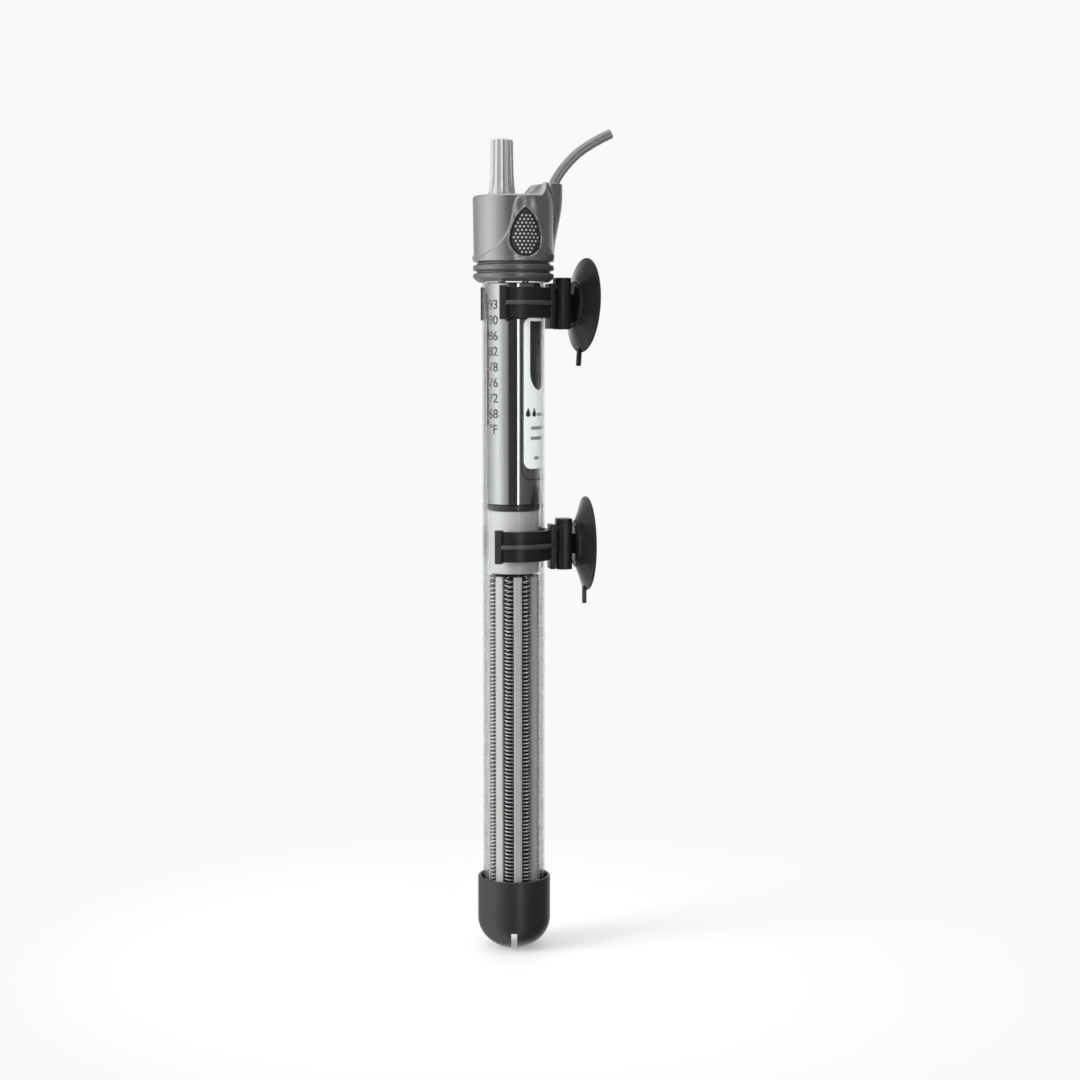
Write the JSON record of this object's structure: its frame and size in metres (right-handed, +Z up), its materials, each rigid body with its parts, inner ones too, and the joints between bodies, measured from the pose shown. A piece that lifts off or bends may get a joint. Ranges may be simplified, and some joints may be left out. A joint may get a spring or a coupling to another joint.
{
  "type": "submersible aquarium heater",
  "caption": "Glass-tube aquarium heater with a ceramic heating core, turning temperature knob, slotted foot guard, and sliding clips with suction cups.",
  "frame": {"origin": "on the plane the foot guard stands on, below the middle of the whole assembly's bounding box; the glass tube's axis is the vertical line x = -12.75 mm, y = +1.95 mm", "axes": "+Z up along the glass tube towards the knob; +X towards the suction cups and the cord, away from the knob; -Y is the side of the front grip inlay"},
  "size_m": [0.0578, 0.0416, 0.3286],
  "materials": {
    "clear_glass": "clear polished borosilicate glass",
    "black_plastic": "satin moulded black plastic",
    "grey_plastic": "satin moulded mid-grey plastic",
    "dark_plastic": "satin moulded dark grey plastic",
    "inlay_rubber": "soft matt rubber with raised dots",
    "cup_rubber": "glossy, slightly translucent black PVC rubber",
    "seal_rubber": "matt black seal rubber",
    "cord_jacket": "satin grey cord jacket",
    "core_insulation": "plastic core insulation over copper strands",
    "silicone": "translucent pale silicone",
    "silver_film": "silver-grey printed film, satin gloss",
    "label_film": "white printed label",
    "ceramic": "unglazed light grey ceramic",
    "resistance_wire": "bright nickel-chrome wire",
    "copper": "copper",
    "brass": "bright brass",
    "board": "mica board",
    "magnet": "plated magnet",
    "resin": "dipped resin",
    "lamp_glass": "neon lamp envelope",
    "pointer_red": "red moulded pointer"
  },
  "bodies": {
    "heater": {"glass_tube": "clear_glass", "tube_end_pad": "silicone", "ceramic_core": "ceramic", "heating_coil": "resistance_wire", "insulator_plug": "ceramic", "lead_wire_a": "copper", "lead_wire_b": "copper", "sleeve_end_ring": "dark_plastic", "scale_sleeve": "silver_film", "rating_label": "label_film", "thermostat_frame": "board", "fixed_contact": "copper", "snap_magnet": "magnet", "suppression_capacitor": "resin", "lamp_resistor": "ceramic", "indicator_lamp": "lamp_glass", "knob_o_ring": "seal_rubber", "head_body": "grey_plastic", "cord_gland": "seal_rubber", "grip_inlay_front": "inlay_rubber", "grip_inlay_rear": "inlay_rubber", "ribbed_collar": "dark_plastic", "tube_seal_ring": "seal_rubber", "rubber_bung": "silicone", "power_cord": "cord_jacket", "cord_core_a": "core_insulation", "cord_core_b": "core_insulation"},
    "knob": {"adjusting_knob": "grey_plastic", "spindle": "brass"},
    "pointer": {"temperature_pointer": "pointer_red"},
    "upper_clip_body": {"upper_clip": "black_plastic"},
    "upper_cup": {"upper_suction_cup": "cup_rubber"},
    "lower_clip_body": {"lower_clip": "black_plastic"},
    "lower_cup": {"lower_suction_cup": "cup_rubber"},
    "foot": {"foot_guard": "black_plastic"},
    "bimetal": {"bimetal_strip": "brass", "moving_contact": "copper"}
  },
  "joints": [
    {"name": "knob_turn", "type": "hinge", "parent": "heater", "child": "knob", "pos_m": [-0.01755, 0.00195, 0.301], "axis": [0, 0, 1], "range_deg": [-1138, 823]},
    {"name": "pointer_slide", "type": "slide", "parent": "heater", "child": "pointer", "axis": [0, 0, 1], "range_m": [-0.0183, 0.0253]},
    {"name": "upper_clip_slide", "type": "slide", "parent": "heater", "child": "upper_clip_body", "axis": [0, 0, 1], "range_m": [-0.024, 0]},
    {"name": "upper_cup_swivel", "type": "hinge", "parent": "upper_clip_body", "child": "upper_cup", "pos_m": [0.00755, 0.00195, 0.2592], "axis": [0, 0, 1], "range_deg": [-8, 8]},
    {"name": "lower_clip_slide", "type": "slide", "parent": "heater", "child": "lower_clip_body", "axis": [0, 0, 1], "range_m": [-0.122, 0.026]},
    {"name": "lower_cup_swivel", "type": "hinge", "parent": "lower_clip_body", "child": "lower_cup", "pos_m": [0.00735, -0.00088, 0.1634], "axis": [0, 0, 1], "range_deg": [-8, 8]},
    {"name": "foot_guard_slide", "type": "slide", "parent": "heater", "child": "foot", "axis": [0, 0, -1], "range_m": [0, 0.03]},
    {"name": "bimetal_flex", "type": "hinge", "parent": "heater", "child": "bimetal", "pos_m": [-0.00725, 0.00195, 0.189], "axis": [0, 1, 0], "range_deg": [0, 2.5]}
  ],
  "couplings": [
    {"joint": "knob_turn", "follows": "pointer_slide", "rad_per_m": -785.4}
  ]
}
